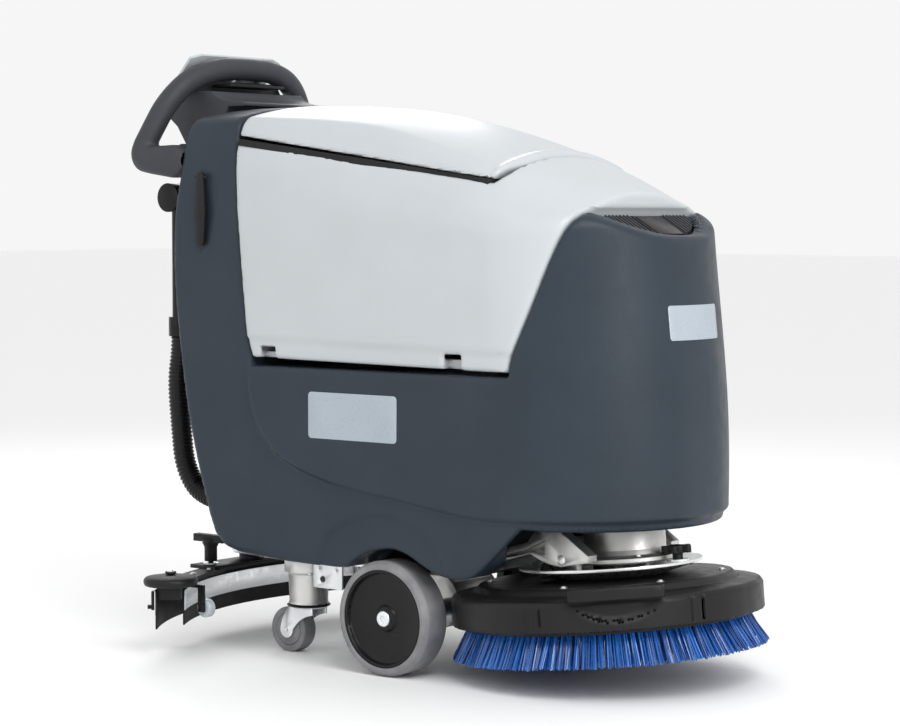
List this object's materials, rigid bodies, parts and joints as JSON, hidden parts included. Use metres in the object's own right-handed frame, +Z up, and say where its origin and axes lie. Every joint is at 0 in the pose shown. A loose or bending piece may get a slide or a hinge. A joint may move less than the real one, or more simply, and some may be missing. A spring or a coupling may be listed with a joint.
{
  "type": "floor scrubber dryer",
  "caption": "Walk-behind wet and dry floor scrubber with disc brush deck, tilting recovery tank under a lid, rear handle loop and curved squeegee.",
  "frame": {"origin": "on the floor under the middle of the machine's outer box", "axes": "+X forward towards the brush deck, +Y to the machine's left, +Z up"},
  "size_m": [1.2285, 0.7586, 1.0966],
  "materials": {
    "slate_plastic": "fine orange-peel moulded texture, satin",
    "grey_plastic": "smooth satin gloss",
    "black_plastic": "satin moulded",
    "charcoal_plastic": "soft satin",
    "black_rubber": "matte",
    "grey_rubber": "matte, scuffed",
    "zinc_steel": "bright zinc plate",
    "dark_steel": "semi gloss",
    "cast_aluminium": "sand cast",
    "battery_case": "moulded",
    "display_glass": "gloss",
    "badge_film": "satin film, blank",
    "blue_bristle": "extruded nylon",
    "blue_plastic": "moulded",
    "clear_plastic": "translucent",
    "hose_plastic": "ribbed, satin"
  },
  "bodies": {
    "chassis": {"body_shell": "slate_plastic", "filler_grille": "black_plastic", "chassis_frame": "zinc_steel", "transaxle": "cast_aluminium", "drive_motor": "dark_steel", "caster_housings": "cast_aluminium", "battery_rear": "battery_case", "battery_front": "battery_case", "vacuum_motor": "dark_steel", "console_housing": "charcoal_plastic", "console_faceplate": "grey_plastic", "console_display": "display_glass", "handle_front_shell": "charcoal_plastic", "handle_rear_shell": "charcoal_plastic", "blank_badges": "badge_film", "vacuum_hose": "hose_plastic", "drain_hose": "hose_plastic", "drain_pipe": "hose_plastic", "hose_fittings": "black_plastic"},
    "recovery_tank": {"recovery_tank": "grey_plastic", "float_cage": "black_plastic"},
    "lid": {"tank_lid": "grey_plastic", "lid_seal": "black_rubber"},
    "lift_yoke": {"lift_yoke": "cast_aluminium"},
    "deck": {"deck_cover": "black_plastic", "deck_plate": "cast_aluminium", "brush_motor": "cast_aluminium", "deck_handle": "black_plastic"},
    "brush": {"brush_bristles": "blue_bristle", "brush_plate": "blue_plastic"},
    "star_knob": {"star_knob": "black_plastic"},
    "squeegee_arms": {"squeegee_arms": "zinc_steel"},
    "squeegee_collar": {"squeegee_collar": "black_plastic"},
    "squeegee": {"squeegee_bar": "black_plastic", "squeegee_blades": "black_rubber", "blade_straps": "zinc_steel"},
    "filler_flap": {"filler_flap": "black_plastic"},
    "side_latch": {"side_latch": "black_plastic"},
    "key_switch": {"key_switch": "black_plastic"},
    "drive_paddle": {"drive_paddle": "black_plastic"},
    "drive_wheel_right": {"drive_tyre_right": "grey_rubber", "drive_hub_right": "black_plastic", "drive_shaft_right": "zinc_steel"},
    "caster_right": {"caster_fork_right": "zinc_steel"},
    "caster_wheel_right": {"caster_wheel_right": "grey_rubber"},
    "squeegee_knob_right": {"squeegee_knob_right": "black_plastic"},
    "squeegee_bumper_right": {"squeegee_bumper_right": "black_plastic"},
    "support_wheel_right": {"support_wheel_right": "clear_plastic"},
    "drive_wheel_left": {"drive_tyre_left": "grey_rubber", "drive_hub_left": "black_plastic", "drive_shaft_left": "zinc_steel"},
    "caster_left": {"caster_fork_left": "zinc_steel"},
    "caster_wheel_left": {"caster_wheel_left": "grey_rubber"},
    "squeegee_knob_left": {"squeegee_knob_left": "black_plastic"},
    "squeegee_bumper_left": {"squeegee_bumper_left": "black_plastic"},
    "support_wheel_left": {"support_wheel_left": "clear_plastic"},
    "button_brush": {"button_brush": "black_rubber"},
    "button_vacuum": {"button_vacuum": "black_rubber"},
    "button_water": {"button_water": "black_rubber"},
    "button_boost": {"button_boost": "black_rubber"}
  },
  "joints": [
    {"name": "drive_wheel_right_spin", "type": "hinge", "parent": "chassis", "child": "drive_wheel_right", "pos_m": [0.0433, -0.225, 0.1], "axis": [0, 1, 0], "continuous": true},
    {"name": "caster_right_swivel", "type": "hinge", "parent": "chassis", "child": "caster_right", "pos_m": [-0.2187, -0.147, 0.11], "axis": [0, 0, 1], "continuous": true},
    {"name": "caster_right_roll", "type": "hinge", "parent": "caster_right", "child": "caster_wheel_right", "pos_m": [-0.2557, -0.147, 0.041], "axis": [0, 1, 0], "continuous": true},
    {"name": "drive_wheel_left_spin", "type": "hinge", "parent": "chassis", "child": "drive_wheel_left", "pos_m": [0.0433, 0.225, 0.1], "axis": [0, 1, 0], "continuous": true},
    {"name": "caster_left_swivel", "type": "hinge", "parent": "chassis", "child": "caster_left", "pos_m": [-0.2187, 0.147, 0.11], "axis": [0, 0, 1], "continuous": true},
    {"name": "caster_left_roll", "type": "hinge", "parent": "caster_left", "child": "caster_wheel_left", "pos_m": [-0.2557, 0.147, 0.041], "axis": [0, 1, 0], "continuous": true},
    {"name": "deck_lift", "type": "hinge", "parent": "chassis", "child": "lift_yoke", "pos_m": [0.1513, 0, 0.197], "axis": [0, 1, 0], "range_deg": [0, 13.93]},
    {"name": "deck_level", "type": "hinge", "parent": "lift_yoke", "child": "deck", "pos_m": [0.3393, 0, 0.215], "axis": [0, 1, 0], "range_deg": [-8.87, 0]},
    {"name": "brush_spin", "type": "hinge", "parent": "deck", "child": "brush", "pos_m": [0.3453, 0, 0.046], "axis": [-0.0882, 0, 0.9961], "continuous": true},
    {"name": "star_knob_turn", "type": "hinge", "parent": "deck", "child": "star_knob", "pos_m": [0.4832, 0, 0.21201], "axis": [-0.0882, 0, 0.9961], "continuous": true},
    {"name": "squeegee_lift", "type": "hinge", "parent": "chassis", "child": "squeegee_arms", "pos_m": [-0.2067, 0, 0.15], "axis": [0, -1, 0], "range_deg": [0, 10.2]},
    {"name": "squeegee_level", "type": "hinge", "parent": "squeegee_arms", "child": "squeegee_collar", "pos_m": [-0.4967, 0, 0.1605], "axis": [0, -1, 0], "range_deg": [-10.2, 0]},
    {"name": "squeegee_swing", "type": "hinge", "parent": "squeegee_collar", "child": "squeegee", "pos_m": [-0.4967, 0, 0.15], "axis": [0, 0, 1], "range_deg": [-18, 18]},
    {"name": "squeegee_knob_right_turn", "type": "hinge", "parent": "squeegee", "child": "squeegee_knob_right", "pos_m": [-0.4997, -0.11, 0.16], "axis": [0, 0, 1], "continuous": true},
    {"name": "squeegee_bumper_right_spin", "type": "hinge", "parent": "squeegee", "child": "squeegee_bumper_right", "pos_m": [-0.38746, -0.33031, 0.138], "axis": [0, 0, 1], "continuous": true},
    {"name": "support_wheel_right_spin", "type": "hinge", "parent": "squeegee", "child": "support_wheel_right", "pos_m": [-0.35297, -0.27455, 0.084], "axis": [0, 1, 0], "continuous": true},
    {"name": "squeegee_knob_left_turn", "type": "hinge", "parent": "squeegee", "child": "squeegee_knob_left", "pos_m": [-0.4997, 0.11, 0.16], "axis": [0, 0, 1], "continuous": true},
    {"name": "squeegee_bumper_left_spin", "type": "hinge", "parent": "squeegee", "child": "squeegee_bumper_left", "pos_m": [-0.38746, 0.33031, 0.138], "axis": [0, 0, 1], "continuous": true},
    {"name": "support_wheel_left_spin", "type": "hinge", "parent": "squeegee", "child": "support_wheel_left", "pos_m": [-0.35297, 0.26855, 0.084], "axis": [0, 1, 0], "continuous": true},
    {"name": "tank_tilt", "type": "hinge", "parent": "chassis", "child": "recovery_tank", "pos_m": [0.0433, 0.262, 0.53], "axis": [-1, 0, 0], "range_deg": [0, 60]},
    {"name": "lid_open", "type": "hinge", "parent": "recovery_tank", "child": "lid", "pos_m": [0.2393, 0.215, 0.855], "axis": [-0.996, 0.051, 0.0728], "range_deg": [0, 100]},
    {"name": "side_latch_swing", "type": "hinge", "parent": "chassis", "child": "side_latch", "pos_m": [-0.3897, -0.2445, 0.862], "axis": [-1, 0, 0], "range_deg": [0, 75]},
    {"name": "filler_flap_open", "type": "hinge", "parent": "chassis", "child": "filler_flap", "pos_m": [0.4669, 0, 0.7626], "axis": [0, 1, 0], "range_deg": [0, 100]},
    {"name": "button_brush_press", "type": "slide", "parent": "chassis", "child": "button_brush", "axis": [0.711, 0, -0.7031], "range_m": [0, 0.003], "stiffness_N_per_m": 300},
    {"name": "button_vacuum_press", "type": "slide", "parent": "chassis", "child": "button_vacuum", "axis": [0.711, 0, -0.7031], "range_m": [0, 0.003], "stiffness_N_per_m": 300},
    {"name": "button_water_press", "type": "slide", "parent": "chassis", "child": "button_water", "axis": [0.711, 0, -0.7031], "range_m": [0, 0.003], "stiffness_N_per_m": 300},
    {"name": "button_boost_press", "type": "slide", "parent": "chassis", "child": "button_boost", "axis": [0.711, 0, -0.7031], "range_m": [0, 0.003], "stiffness_N_per_m": 300},
    {"name": "key_turn", "type": "hinge", "parent": "chassis", "child": "key_switch", "pos_m": [-0.55275, 0.084, 1.06076], "axis": [-0.711, 0, 0.7031], "range_deg": [0, 90]},
    {"name": "drive_paddle_tilt", "type": "hinge", "parent": "chassis", "child": "drive_paddle", "pos_m": [-0.4747, 0, 1.037], "axis": [0, 1, 0], "range_deg": [-6, 6], "stiffness_Nm_per_rad": 3}
  ],
  "couplings": [
    {"joint": "deck_level", "follows": "deck_lift", "ratio": -0.63675},
    {"joint": "squeegee_level", "follows": "squeegee_lift", "ratio": -1}
  ]
}
